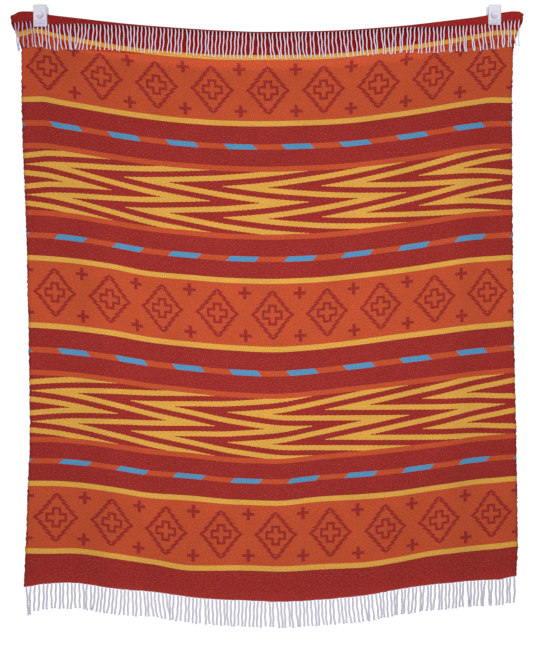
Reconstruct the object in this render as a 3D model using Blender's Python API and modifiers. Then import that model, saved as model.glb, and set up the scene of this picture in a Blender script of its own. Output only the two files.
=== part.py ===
"""A woven wool blanket that hangs from two plastic clips.

The top end is folded over to the front, so its cords hang in front of the cloth. Each clip
pinches the fold near a corner, and between the clips the fold sags. Metres, +Z up, the front
of the cloth faces -Y and the clips' flat backs face +Y. The origin is the middle of the whole.
"""
import bisect
import math

import bmesh
import bpy
from mathutils import Matrix, Vector

MM = 0.001

# The cloth as it comes off the loom
CLOTH_WIDTH = 1500 * MM
CLOTH_LENGTH = 1686 * MM
CLOTH_THICK = 2.4 * MM
FLAP_NARROWS = 0.012

# The cords of the two ends
TOP_CORDS = 144
BOTTOM_CORDS = 130
CORD_LENGTH = 71 * MM
CORD_WIDE = 3.2 * MM
CORD_DEEP = 2.2 * MM
TOP_STEPS = 3
BOTTOM_STEPS = 2
CORD_UNEVEN = 1.5 * MM
CORD_LEAN = 2.6 * MM
CORD_BOW = 1.4 * MM
STRIP_HIGH = 5 * MM
STRIP_INSET = 2 * MM
STRIP_GAP = 0.5 * MM
PIECE_GAP = 0.3 * MM
DRAPE_GAP = 2 * MM

# The clips, and where they grip, across the cloth from its middle
CLIP_PLACES = {"left": -663 * MM, "right": 666 * MM}
CLIP_TILT = {"left": math.radians(-1.5), "right": math.radians(1.5)}
JAW_WIDE = 38 * MM
JAW_HIGH = 63 * MM
FRONT_THICK = 3.5 * MM
BACK_THICK = 3 * MM
BACK_HIGH = 55 * MM
BACK_DROP = 5 * MM
BACK_SHIFT = 4.5 * MM
CORNER = 4 * MM
EDGE_ROUND = 0.8 * MM
DIMPLE_RADIUS = 11 * MM
DIMPLE_DEPTH = 1.5 * MM
DIMPLE_DROP = 31 * MM
RIDGE_WIDE = 26 * MM
RIDGE_DROP = (8 * MM, 15 * MM)

# The cloth lies against the back jaws, and the front jaws against the fold, whose roll is
# pinched to a small radius there. PINCH is in millimetres, as the tables below are
STAND_OFF = BACK_THICK + PIECE_GAP + CLOTH_THICK / 2
PINCH = 2.2
FOLD_DEEP = STAND_OFF + 2 * PINCH * MM + CLOTH_THICK / 2
FRONT_FACE = FOLD_DEEP + PIECE_GAP
GRIP_HALF = 25 * MM
GRIP_END = 85 * MM
GRIP_SPREAD = (90 * MM, 140 * MM)

# The fold, section by section in millimetres: place across the cloth, drop of the crest below
# the clips' tops, length of the flap in front, radius of the rolled edge
TOP_EDGE = (
    {"across": -750, "crest": 36, "flap": 16, "roll": 3.5},
    {"across": -720, "crest": 21, "flap": 28, "roll": 3.5},
    {"across": -690, "crest": 22, "flap": 29, "roll": PINCH},
    {"across": -636, "crest": 32, "flap": 27, "roll": PINCH},
    {"across": -600, "crest": 37, "flap": 22, "roll": 4},
    {"across": -500, "crest": 49, "flap": 13, "roll": 7},
    {"across": -375, "crest": 61, "flap": 6, "roll": 8},
    {"across": -250, "crest": 70, "flap": 4, "roll": 8},
    {"across": -125, "crest": 76, "flap": 4, "roll": 8},
    {"across": 0, "crest": 79, "flap": 5, "roll": 8},
    {"across": 125, "crest": 78, "flap": 4, "roll": 8},
    {"across": 250, "crest": 74, "flap": 4, "roll": 8},
    {"across": 375, "crest": 65, "flap": 5, "roll": 8},
    {"across": 500, "crest": 53, "flap": 16, "roll": 7},
    {"across": 600, "crest": 40, "flap": 23, "roll": 4},
    {"across": 640, "crest": 33, "flap": 26, "roll": PINCH},
    {"across": 692, "crest": 24, "flap": 28, "roll": PINCH},
    {"across": 720, "crest": 22, "flap": 27, "roll": 3.5},
    {"across": 750, "crest": 30, "flap": 19, "roll": 3.5},
)

# Rows down the cloth in millimetres: place along the weave, drop in the middle, the cloth's
# left edge, middle and right edge, and how far the middle stands off the clips
ROWS = (
    {"down": 0, "drop": 58, "left": -750, "middle": 0, "right": 749, "proud": 2},
    {"down": 40, "drop": 98, "left": -750, "middle": 0, "right": 749, "proud": 5},
    {"down": 98, "drop": 156, "left": -731, "middle": 1, "right": 733, "proud": 16},
    {"down": 150, "drop": 207, "left": -716, "middle": 2, "right": 720, "proud": 19},
    {"down": 293, "drop": 347, "left": -717, "middle": 5, "right": 716, "proud": 10},
    {"down": 617, "drop": 678, "left": -706, "middle": 12, "right": 717, "proud": 7},
    {"down": 746, "drop": 808, "left": -702, "middle": 15, "right": 718, "proud": 8},
    {"down": 1070, "drop": 1143, "left": -695, "middle": 19, "right": 722, "proud": 14},
    {"down": 1265, "drop": 1331, "left": -692, "middle": 21, "right": 726, "proud": 18},
    {"down": 1394, "drop": 1455, "left": -698, "middle": 23, "right": 728, "proud": 17},
    {"down": 1589, "drop": 1646, "left": -704, "middle": 24, "right": 729, "proud": 7},
    {"down": 1686, "drop": 1743, "left": -708, "middle": 22, "right": 723, "proud": 9},
)

# How far four rows of the weave rise above their own middle towards the sides, in millimetres
RISE_ROWS = {"first": 98, "third": 746, "sixth": 1589, "hem": 1686}
RISE = (
    {"across": -750, "first": 65, "third": 70, "sixth": 51, "hem": 44},
    {"across": -690, "first": 76, "third": 67, "sixth": 51, "hem": 53},
    {"across": -625, "first": 64, "third": 62, "sixth": 51, "hem": 54},
    {"across": -500, "first": 39, "third": 45, "sixth": 39, "hem": 43},
    {"across": -375, "first": 20, "third": 23, "sixth": 21, "hem": 27},
    {"across": -250, "first": 8, "third": 12, "sixth": 5, "hem": 12},
    {"across": -125, "first": 1, "third": 3, "sixth": 1, "hem": 3},
    {"across": 0, "first": 0, "third": 0, "sixth": 0, "hem": 0},
    {"across": 125, "first": 1, "third": 4, "sixth": 4, "hem": 4},
    {"across": 250, "first": 10, "third": 15, "sixth": 10, "hem": 15},
    {"across": 375, "first": 25, "third": 29, "sixth": 25, "hem": 31},
    {"across": 500, "first": 41, "third": 46, "sixth": 47, "hem": 50},
    {"across": 625, "first": 65, "third": 63, "sixth": 60, "hem": 59},
    {"across": 690, "first": 76, "third": 67, "sixth": 66, "hem": 63},
    {"across": 750, "first": 76, "third": 70, "sixth": 73, "hem": 75},
)

# The soft folds that run down the cloth, in millimetres: where the crest of each is at the
# top and at the hem, half its width, and how far it stands forward at the top and at the hem
FOLDS = (
    {"top": -560, "foot": -470, "half": 80, "high": 6, "low": 24},
    {"top": -250, "foot": -215, "half": 95, "high": 4, "low": 13},
    {"top": 60, "foot": 45, "half": 105, "high": 5, "low": 18},
    {"top": 330, "foot": 270, "half": 85, "high": 4, "low": 11},
    {"top": 600, "foot": 500, "half": 75, "high": 6, "low": 25},
    {"top": 750, "foot": 735, "half": 60, "high": 0, "low": 12},
)
LONGEST_CELL = 63 * MM
LAST_ROW = 0.7
CLOSE_ROWS = (18 * MM, 38 * MM, 60 * MM, 85 * MM, 115 * MM)
PANEL_ROWS = 18
SEARCH_STEPS = 5

COLOURS = {
    "blanket": (0.46, 0.07, 0.03),
    "fringe": (0.66, 0.62, 0.74),
    "clip": (0.80, 0.79, 0.84),
}


def clear_scene():
    for item in list(bpy.data.objects):
        bpy.data.objects.remove(item, do_unlink=True)


def material(name, colour, roughness):
    made = bpy.data.materials.new(name)
    made.use_nodes = True
    shader = made.node_tree.nodes["Principled BSDF"]
    shader.inputs["Base Color"].default_value = (*colour, 1.0)
    shader.inputs["Roughness"].default_value = roughness
    shader.inputs["Metallic"].default_value = 0.0
    return made


def finish(name, bm, collection, look):
    """Turn a bmesh into a named object of the collection."""
    mesh = bpy.data.meshes.new(name)
    bm.to_mesh(mesh)
    bm.free()
    mesh.materials.append(look)
    made = bpy.data.objects.new(name, mesh)
    collection.objects.link(made)
    return made


def slope(places, values, k):
    """The slope at point k of a curve that never swings past its points."""
    if k in (0, len(places) - 1):
        return 0.0
    before = (values[k] - values[k - 1]) / (places[k] - places[k - 1])
    after = (values[k + 1] - values[k]) / (places[k + 1] - places[k])
    if before * after <= 0:
        return 0.0
    return 2 * before * after / (before + after)


def smooth(places, values, at):
    """Read a smooth curve through the points at one place."""
    if at <= places[0]:
        return values[0]
    for k in range(len(places) - 1):
        if at <= places[k + 1]:
            break
    else:
        return values[-1]
    span = places[k + 1] - places[k]
    f = (at - places[k]) / span
    rise_a = slope(places, values, k) * span
    rise_b = slope(places, values, k + 1) * span
    low, high = values[k], values[k + 1]
    return (low * (1 + 2 * f) * (1 - f) ** 2 + rise_a * f * (1 - f) ** 2
            + high * f * f * (3 - 2 * f) + rise_b * f * f * (f - 1))


def read(table, key, column, at):
    """Read one column of a table in millimetres at a place in metres, and give metres."""
    places = [row[key] * MM for row in table]
    values = [row[column] * MM for row in table]
    return smooth(places, values, at)


def slack(across, down):
    """0 where a clip holds the cloth flat, rising to 1 away from the clips."""
    free = 1.0
    for place in CLIP_PLACES.values():
        aside = max(0.0, abs(across - place) - GRIP_HALF) / GRIP_SPREAD[0]
        below = max(0.0, down - GRIP_END) / GRIP_SPREAD[1]
        free *= 1 - math.exp(-(aside ** 2 + below ** 2))
    return free


def stand(across, down):
    """How far the middle of the cloth's thickness stands off the wall."""
    proud = read(ROWS, "down", "proud", down)
    fall = min(1.0, max(0.0, down / CLOTH_LENGTH))
    for fold in FOLDS:
        crest = (fold["top"] + (fold["foot"] - fold["top"]) * fall) * MM
        height = (fold["high"] + (fold["low"] - fold["high"]) * fall) * MM
        proud += height * math.exp(-((across - crest) / (fold["half"] * MM)) ** 2)
    return STAND_OFF + slack(across, down) * proud


def top_edge(across):
    """Crest drop, flap length and roll radius of the fold at one section."""
    crest, flap, roll = (read(TOP_EDGE, "across", column, across)
                         for column in ("crest", "flap", "roll"))
    return crest, flap, roll


def hem_arc(across):
    """Length of cloth from the crest of the fold to the hem in front."""
    crest, flap, roll = top_edge(across)
    if flap < roll:
        return roll * math.acos(1 - flap / roll)
    return roll * math.pi / 2 + flap - roll


def roll_end(across):
    """Place along the weave where the rolled edge ends and the hanging cloth begins."""
    return hem_arc(across) + top_edge(across)[2] * math.pi / 2


def fold_point(across, arc):
    """A point of the fold and the way its outer side faces, by the cloth's length from the
    crest: positive in front, negative behind."""
    crest, flap, roll = top_edge(across)
    quarter = roll * math.pi / 2
    turn = max(-quarter, min(quarter, arc)) / roll
    straight = max(0.0, arc - quarter)
    centre = stand(across, roll_end(across)) + roll
    narrow = 1 - FLAP_NARROWS * max(0.0, arc) / hem_arc(across)
    point = Vector((across * narrow,
                    -(centre + roll * math.sin(turn)),
                    -(crest + roll * (1 - math.cos(turn)) + straight)))
    facing = Vector((0, -math.sin(turn), math.cos(turn)))
    return point, facing


def rise(across, down):
    places = [RISE_ROWS[name] * MM for name in RISE_ROWS]
    values = [read(RISE, "across", name, across) for name in RISE_ROWS]
    return smooth(places, values, down)


def panel_point(across, down):
    """A point of the hanging cloth below the fold."""
    half = CLOTH_WIDTH / 2
    f = across / half
    left, middle, right = (read(ROWS, "down", column, down)
                           for column in ("left", "middle", "right"))
    x = middle * (1 - f * f) + right * f * (1 + f) / 2 - left * f * (1 - f) / 2
    first = RISE_ROWS["first"] * MM
    start = roll_end(across)
    if down < first:
        crest, flap, roll = top_edge(across)
        below = read(ROWS, "down", "drop", first) - rise(across, first)
        drop = crest + roll + (below - crest - roll) * (down - start) / (first - start)
    else:
        drop = read(ROWS, "down", "drop", down) - rise(across, down)
    return Vector((x, -stand(across, down), -drop))


def columns():
    """Places across the cloth: the sections of the fold, with the long gaps split."""
    places = [row["across"] * MM for row in TOP_EDGE]
    result = [places[0]]
    for left, right in zip(places, places[1:]):
        parts = math.ceil((right - left) / LONGEST_CELL)
        result += [left + (right - left) * (k + 1) / parts for k in range(parts)]
    return result


def fold_arcs(across):
    """Lengths from the crest at which the fold's rows lie, from the hem to behind."""
    crest, flap, roll = top_edge(across)
    hem = hem_arc(across)
    quarter = roll * math.pi / 2
    front = min(quarter, LAST_ROW * hem)
    return (hem, front, front / 2, 0.0, -quarter / 2)


def panel_rows(start):
    """Places along the weave of the hanging cloth's rows, close together behind the cords."""
    close = [start] + [start + step for step in CLOSE_ROWS]
    left = CLOTH_LENGTH - close[-1]
    return close + [close[-1] + left * (k + 1) / PANEL_ROWS for k in range(PANEL_ROWS)]


def make_blanket(collection):
    """One sheet, folded over at the top: a grid that is hung row by row, then thickened."""
    places = columns()
    fold_rows = len(fold_arcs(0.0))
    rows = fold_rows + len(CLOSE_ROWS) + PANEL_ROWS
    bm = bmesh.new()
    bmesh.ops.create_grid(bm, x_segments=len(places) - 1, y_segments=rows, size=0.5)
    for vert in bm.verts:
        across = places[round((vert.co.x + 0.5) * (len(places) - 1))]
        row = round((0.5 - vert.co.y) * rows)
        if row < fold_rows:
            vert.co = fold_point(across, fold_arcs(across)[row])[0]
            continue
        start = roll_end(across)
        vert.co = panel_point(across, panel_rows(start)[row - fold_rows])
    bmesh.ops.recalc_face_normals(bm, faces=bm.faces)
    look = material("blanket", COLOURS["blanket"], 0.95)
    blanket = finish("blanket", bm, collection, look)
    blanket.data.shade_smooth()
    thicken = blanket.modifiers.new("thickness", "SOLIDIFY")
    thicken.thickness = CLOTH_THICK
    thicken.offset = 0.0
    return blanket


def unrest(number):
    """A steady stand-in for chance: a value from -1 to 1 for each number."""
    value = math.sin(number * 12.9898) * 437.5453
    return 2 * (value - math.floor(value)) - 1


def on_columns(place, across):
    """The cloth runs straight from column to column, and what lies along it does too.

    place gives a point and the way it faces at one column.
    """
    places = columns()
    k = min(len(places) - 2, max(0, bisect.bisect_right(places, across) - 1))
    share = (across - places[k]) / (places[k + 1] - places[k])
    point_a, facing_a = place(places[k])
    point_b, facing_b = place(places[k + 1])
    return point_a.lerp(point_b, share), facing_a.lerp(facing_b, share).normalized()


def top_root(across, depth):
    """A point of the top strip, depth below the flap's hem, and the way its front faces."""
    return on_columns(lambda place: fold_point(place, hem_arc(place) + STRIP_GAP + depth), across)


def bottom_root(across, depth):
    """The same for the strip below the bottom hem."""
    below = Vector((0, 0, -STRIP_GAP - depth))
    return on_columns(lambda place: (panel_point(place, CLOTH_LENGTH) + below, Vector((0, -1, 0))),
                      across)


def clear_of_panel(point):
    """Bring a cord's point forward until it lies on the cloth that hangs behind it."""
    half = CLOTH_WIDTH / 2
    across, down = point.x, GRIP_END
    for step in range(SEARCH_STEPS):
        there = panel_point(across, down)
        across = max(-half, min(half, across + point.x - there.x))
        down = max(roll_end(across), down + there.z - point.z)
    cloth = stand(across, down) + CLOTH_THICK / 2
    point.y = min(point.y, -(cloth + DRAPE_GAP + CORD_DEEP / 2))
    return point


def make_fringe(name, count, steps, root, collection, look, on_cloth):
    """A narrow strip with cords drawn out of its lower side, laid out flat and then hung.

    In the flat layout x counts the strip's stations, two for each cord, y is 0 at the strip's
    top, 1 at its foot and one more for each step down a cord, and z is 0 in front and 1 behind.
    """
    stations = 2 * count + 1
    bm = bmesh.new()
    bmesh.ops.create_grid(bm, x_segments=stations, y_segments=1, size=0.5)
    bmesh.ops.scale(bm, vec=(stations, 1, 1), verts=bm.verts)
    bmesh.ops.translate(bm, vec=(stations / 2, 0.5, 0), verts=bm.verts)
    behind = bmesh.ops.extrude_face_region(bm, geom=bm.faces[:])
    raised = [item for item in behind["geom"] if isinstance(item, bmesh.types.BMVert)]
    bmesh.ops.translate(bm, vec=(0, 0, 1), verts=raised)
    bm.normal_update()
    bmesh.ops.recalc_face_normals(bm, faces=bm.faces)
    tips = [face for face in bm.faces
            if face.normal.y > 0.9 and int(face.calc_center_median().x) % 2 == 1]
    for step in range(steps):
        drawn = bmesh.ops.extrude_discrete_faces(bm, faces=tips)
        tips = drawn["faces"]
        corners = {vert for face in tips for vert in face.verts}
        bmesh.ops.translate(bm, vec=(0, 1, 0), verts=list(corners))

    half = CLOTH_WIDTH / 2 - STRIP_INSET
    pitch = 2 * half / count
    for vert in bm.verts:
        station, down, front = round(vert.co.x), vert.co.y, 1 - 2 * vert.co.z
        number = min(count - 1, max(0, (station - 1) // 2))
        middle = -half + pitch * (number + 0.5)
        side = 1 if station % 2 == 0 else -1
        across = middle + side * CORD_WIDE / 2
        if station in (0, stations):
            across = math.copysign(half, middle)
        if down < 1.5:
            point, facing = root(across, STRIP_HIGH * min(1.0, down))
            vert.co = point + facing * front * CORD_DEEP / 2
            continue
        share = (down - 1) / steps
        start = root(middle, STRIP_HIGH)[0]
        length = CORD_LENGTH + CORD_UNEVEN * unrest(number + 0.5)
        aside = (CORD_LEAN * share * unrest(number)
                 + CORD_BOW * math.sin(math.pi * share) * unrest(number + 0.25))
        point = start + Vector((aside, 0, -length * share))
        if on_cloth:
            point = clear_of_panel(point)
        vert.co = point + Vector((side * CORD_WIDE / 2, -front * CORD_DEEP / 2, 0))
    return finish(name, bm, collection, look)


def rounded_plate(width, height, thick):
    """A flat plate in the XZ plane, its corners and its rims rounded. Its back is at y = 0."""
    bm = bmesh.new()
    bmesh.ops.create_cube(bm, size=1.0)
    bmesh.ops.scale(bm, vec=(width, thick, height), verts=bm.verts)
    bmesh.ops.translate(bm, vec=(0, -thick / 2, 0), verts=bm.verts)
    uprights = [edge for edge in bm.edges
                if abs(edge.verts[0].co.y - edge.verts[1].co.y) > thick / 2]
    bmesh.ops.bevel(bm, geom=uprights, offset=CORNER, segments=4, profile=0.5,
                    affect="EDGES", material=-1)
    rim = [edge for edge in bm.edges
           if min(edge.verts[0].co.y, edge.verts[1].co.y) < -thick * 0.99
           and max(edge.verts[0].co.y, edge.verts[1].co.y) < -thick * 0.99]
    bmesh.ops.bevel(bm, geom=rim, offset=EDGE_ROUND, segments=2, profile=0.5,
                    affect="EDGES", material=-1)
    return bm


def make_front_jaw(side, collection, cutters, look):
    """The jaw in front, with the round finger dimple pressed into its face."""
    bm = rounded_plate(JAW_WIDE, JAW_HIGH, FRONT_THICK)
    jaw = finish(f"clip_{side}_front", bm, collection, look)
    jaw.rotation_euler = (0, CLIP_TILT[side], 0)
    jaw.location = (CLIP_PLACES[side], -FRONT_FACE, -JAW_HIGH / 2)

    radius = (DIMPLE_RADIUS ** 2 + DIMPLE_DEPTH ** 2) / (2 * DIMPLE_DEPTH)
    ball = bmesh.new()
    bmesh.ops.create_uvsphere(ball, u_segments=32, v_segments=48, radius=radius)
    bmesh.ops.rotate(ball, cent=(0, 0, 0), matrix=Matrix.Rotation(math.pi / 2, 3, "X"),
                     verts=ball.verts)
    cutter = finish(f"dimple_{side}", ball, cutters, look)
    cutter.parent = jaw
    cutter.location = (0, -FRONT_THICK + DIMPLE_DEPTH - radius, JAW_HIGH / 2 - DIMPLE_DROP)
    cutter.hide_render = True
    cutter.display_type = "WIRE"
    dimple = jaw.modifiers.new("dimple", "BOOLEAN")
    dimple.operation = "DIFFERENCE"
    dimple.object = cutter
    return jaw


def make_back_jaw(side, collection, look):
    """The flat jaw behind, with the ridge on which the front jaw rocks above the fold."""
    inward = -math.copysign(BACK_SHIFT, CLIP_PLACES[side])
    bm = rounded_plate(JAW_WIDE, BACK_HIGH, BACK_THICK)
    top, foot = RIDGE_DROP
    reach = FRONT_FACE - PIECE_GAP - BACK_THICK
    upper, lower = (BACK_HIGH / 2 + BACK_DROP - drop for drop in (top, foot))
    middle = (upper + lower) / 2
    cuts = (((0, 0, upper), (0, 0, 1)), ((0, 0, lower), (0, 0, 1)),
            ((RIDGE_WIDE / 2, 0, 0), (1, 0, 0)), ((-RIDGE_WIDE / 2, 0, 0), (1, 0, 0)))
    for place, across in cuts:
        bmesh.ops.bisect_plane(bm, geom=bm.verts[:] + bm.edges[:] + bm.faces[:],
                               plane_co=place, plane_no=across)
    bm.normal_update()
    ridge = [face for face in bm.faces
             if face.normal.y < -0.99
             and abs(face.calc_center_median().x) < RIDGE_WIDE / 2
             and abs(face.calc_center_median().z - middle) < (foot - top) / 2]
    raised = bmesh.ops.extrude_discrete_faces(bm, faces=ridge)["faces"]
    corners = [vert for face in raised for vert in face.verts]
    bmesh.ops.translate(bm, vec=(0, -reach, 0), verts=corners)
    jaw = finish(f"clip_{side}_back", bm, collection, look)
    jaw.location = (CLIP_PLACES[side] + inward, 0, -BACK_DROP - BACK_HIGH / 2)
    return jaw


def centre_on_origin(collection):
    """Move the whole so that the middle of its box is the origin."""
    bpy.context.view_layer.update()
    graph = bpy.context.evaluated_depsgraph_get()
    corners = []
    for item in collection.objects:
        shown = item.evaluated_get(graph)
        corners += [item.matrix_world @ vert.co for vert in shown.data.vertices]
    low = Vector([min(corner[axis] for corner in corners) for axis in range(3)])
    high = Vector([max(corner[axis] for corner in corners) for axis in range(3)])
    for item in collection.objects:
        item.location -= (low + high) / 2
    bpy.context.view_layer.update()


def main():
    clear_scene()
    parts = bpy.data.collections.new("basotho_blanket")
    cutters = bpy.data.collections.new("cutters")
    for collection in (parts, cutters):
        bpy.context.scene.collection.children.link(collection)
    cord = material("cord", COLOURS["fringe"], 0.9)
    plastic = material("clip", COLOURS["clip"], 0.35)
    make_blanket(parts)
    make_fringe("fringe_top", TOP_CORDS, TOP_STEPS, top_root, parts, cord, on_cloth=True)
    make_fringe("fringe_bottom", BOTTOM_CORDS, BOTTOM_STEPS, bottom_root, parts, cord,
                on_cloth=False)
    for side in CLIP_PLACES:
        make_front_jaw(side, parts, cutters, plastic)
        make_back_jaw(side, parts, plastic)
    centre_on_origin(parts)


main()
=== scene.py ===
import math
from functools import lru_cache

import bmesh
import bpy
from mathutils import Matrix, Vector, noise


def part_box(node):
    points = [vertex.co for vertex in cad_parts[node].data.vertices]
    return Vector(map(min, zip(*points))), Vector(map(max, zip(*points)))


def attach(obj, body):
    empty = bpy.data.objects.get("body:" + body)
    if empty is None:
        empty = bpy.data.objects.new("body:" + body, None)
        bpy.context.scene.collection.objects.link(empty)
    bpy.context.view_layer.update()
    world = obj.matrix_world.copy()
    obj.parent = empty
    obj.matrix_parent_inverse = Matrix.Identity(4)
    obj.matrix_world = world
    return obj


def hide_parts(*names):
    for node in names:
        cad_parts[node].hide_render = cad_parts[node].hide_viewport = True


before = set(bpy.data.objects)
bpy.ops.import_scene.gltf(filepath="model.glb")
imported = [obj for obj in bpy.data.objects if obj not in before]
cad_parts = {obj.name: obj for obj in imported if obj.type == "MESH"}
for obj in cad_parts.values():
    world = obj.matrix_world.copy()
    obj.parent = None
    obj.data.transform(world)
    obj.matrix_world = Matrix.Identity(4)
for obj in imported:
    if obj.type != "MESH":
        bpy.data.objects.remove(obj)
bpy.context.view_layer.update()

MM = 0.001


# The back jaws. The blanket hangs from two moulded plastic clips. Each back jaw is a flat
# plate that is fixed to the wall, with a ridge above the fold on which the front jaw rocks.
# Their tops and flat backs give the place from which the whole cloth is measured.
JAW_WIDE = 38 * MM
BACK_HIGH = 55 * MM
BACK_THICK = 3 * MM
BACK_DROP = 5 * MM          # its top lies this far below the front jaw's
BACK_SHIFT = 4.5 * MM       # and its middle this far beside the front jaw's
CORNER = 4 * MM
RIM_ROUND = 0.9 * MM
RIDGE_WIDE = 26 * MM
RIDGE_DROP = (8 * MM, 15 * MM)
CLIP_PLACES = {"left": -663 * MM, "right": 666 * MM}
PLASTIC = (0.860, 0.850, 0.915)
PLASTIC_CLOUDY = (0.790, 0.765, 0.855)
PLASTIC_ROUGH = 0.42
PLASTIC_BUMP = (0.2, 0.2 * MM)
# Its noises, in patches to the metre, and how the cloudy one turns into colour and roughness
CLOUDS = 90.0
FLOW_MARKS = 1400.0
CLOUD_GAIN = (1.6, 0.4)
GLOSS_GAIN = (0.16, 0.34)
# Faces around the rounding of a plate's corners, of its front rim and of the ridge
CORNER_FACES = 8
RIM_FACES = 4
RIDGE_FACES = 3
SHARP_ANGLE = math.radians(35)
FACING = 0.99               # a face or an edge counts as the front one from this share on
PLACE_WEIGHTS = Vector((1.0, 7.31, 53.17))      # make one number of a place

# The middle of the cloth, on the wall, at the height of the front jaws' tops
back_low, back_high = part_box("clip_left_back")
HANG = Vector(((back_low[0] + back_high[0]) / 2 - CLIP_PLACES["left"] - BACK_SHIFT,
               back_high[1],
               back_high[2] + BACK_DROP))


class Shade:
    """A socket of a material that adds, multiplies and compares like a number."""

    def __init__(self, tree, socket=None):
        self.tree = tree
        self.socket = socket

    def node(self, kind, settings, values, output=0):
        """Add a node: its settings first, then the values or links of its sockets."""
        made = self.tree.nodes.new(kind)
        for name, setting in settings.items():
            setattr(made, name, setting)
        for name, value in values.items():
            if isinstance(value, Shade):
                self.tree.links.new(value.socket, made.inputs[name])
            else:
                made.inputs[name].default_value = value
        return Shade(self.tree, made.outputs[output])

    def math(self, operation, *others):
        values = {0: self}
        values.update({k + 1: other for k, other in enumerate(others)})
        return self.node("ShaderNodeMath", {"operation": operation}, values)

    def __add__(self, other):
        return self.math("ADD", other)

    def __sub__(self, other):
        return self.math("SUBTRACT", other)

    def __mul__(self, other):
        return self.math("MULTIPLY", other)

    def __truediv__(self, other):
        return self.math("DIVIDE", other)

    def __rsub__(self, other):
        return self.node("ShaderNodeMath", {"operation": "SUBTRACT"}, {0: other, 1: self})

    def __lt__(self, other):
        return self.math("LESS_THAN", other)

    def __gt__(self, other):
        return self.math("GREATER_THAN", other)

    def paint(self, under, over):
        """Lay one colour over another where this value is 1."""
        colours = [(*colour, 1.0) if isinstance(colour, tuple) else colour
                   for colour in (under, over)]
        return self.node("ShaderNodeMix", {"data_type": "RGBA"},
                         {0: self, 6: colours[0], 7: colours[1]}, output=2)

    def length(self):
        return self.node("ShaderNodeVectorMath", {"operation": "LENGTH"}, {0: self}, output=1)

    def parts(self):
        """The X, Y and Z of a vector."""
        made = self.node("ShaderNodeSeparateXYZ", {}, {0: self})
        return [Shade(self.tree, made.socket.node.outputs[k]) for k in range(3)]

    def vector(self, x, y, z=0.0):
        return self.node("ShaderNodeCombineXYZ", {}, {0: x, 1: y, 2: z})

    def place(self):
        """The point of the piece, in the piece's own coordinates."""
        return self.node("ShaderNodeTexCoord", {}, {}, output=3)

    def held(self):
        """This value, held between 0 and 1."""
        return self.math("MAXIMUM", 0.0).math("MINIMUM", 1.0)

    def grain(self, place, scale, detail=2.0):
        """Soft noise from 0 to 1 at a place, with about as many patches to the metre as scale."""
        return self.node("ShaderNodeTexNoise", {},
                         {"Vector": place, "Scale": scale, "Detail": detail})

    def uneven(self, place, scale, gain, base, detail=2.0):
        """Soft noise at a place, stretched by a gain and lifted by a base."""
        return self.grain(place, scale, detail) * gain + base


def new_material(name, roughness, **constants):
    """A material with its shader's constants set; gives the shader and an empty Shade."""
    made = bpy.data.materials.new(name)
    made.use_nodes = True
    shader = made.node_tree.nodes["Principled BSDF"]
    shader.inputs["Roughness"].default_value = roughness
    for socket, value in constants.items():
        shader.inputs[socket.replace("_", " ")].default_value = value
    return made, shader, Shade(made.node_tree)


def feed(shader, socket, value):
    value.tree.links.new(value.socket, shader.inputs[socket])


def feed_bump(shader, height, strength, distance):
    """Let a height from 0 to 1 raise the surface by up to a distance."""
    feed(shader, "Normal", height.node("ShaderNodeBump", {}, {
        "Strength": strength, "Distance": distance, "Height": height}))


def plastic_material():
    """Milky moulded plastic, a little uneven in gloss, with faint flow marks."""
    made, shader, shade = new_material("moulded_plastic", PLASTIC_ROUGH, Specular_IOR_Level=0.3)
    place = shade.place()
    cloudy = shade.grain(place, CLOUDS)
    cloud = (cloudy * CLOUD_GAIN[0] - CLOUD_GAIN[1]).held()
    feed(shader, "Base Color", cloud.paint(PLASTIC_CLOUDY, PLASTIC))
    feed(shader, "Roughness", cloudy * GLOSS_GAIN[0] + GLOSS_GAIN[1])
    feed_bump(shader, shade.grain(place, FLOW_MARKS), *PLASTIC_BUMP)
    return made


def plate(width, height, thick):
    """A flat plate in the XZ plane, corners and front rim rounded, its back at y = 0."""
    bm = bmesh.new()
    bmesh.ops.create_cube(bm, size=1.0)
    bmesh.ops.scale(bm, vec=(width, thick, height), verts=bm.verts)
    bmesh.ops.translate(bm, vec=(0, -thick / 2, 0), verts=bm.verts)
    uprights = [edge for edge in bm.edges
                if abs(edge.verts[0].co.y - edge.verts[1].co.y) > thick / 2]
    bmesh.ops.bevel(bm, geom=uprights, offset=CORNER, segments=CORNER_FACES, profile=0.5,
                    affect="EDGES", material=-1)
    rim = [edge for edge in bm.edges
           if all(vert.co.y < -thick * FACING for vert in edge.verts)]
    bmesh.ops.bevel(bm, geom=rim, offset=RIM_ROUND, segments=RIM_FACES, profile=0.5,
                    affect="EDGES", material=-1)
    return bm


def in_order(bm):
    """Order points and faces by their places: a bevel's own order varies from run to run."""
    bm.verts.sort(key=lambda vert: vert.co.dot(PLACE_WEIGHTS))
    bm.faces.sort(key=lambda face: face.calc_center_median().dot(PLACE_WEIGHTS))


def finish_piece(name, bm, material, smooth_angle=None):
    """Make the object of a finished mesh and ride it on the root."""
    mesh = bpy.data.meshes.new(name)
    bm.to_mesh(mesh)
    bm.free()
    mesh.materials.append(material)
    mesh.shade_smooth()
    if smooth_angle is not None:
        mesh.set_sharp_from_angle(angle=smooth_angle)
    made = bpy.data.objects.new(name, mesh)
    bpy.context.scene.collection.objects.link(made)
    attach(made, "root")
    return made


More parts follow.
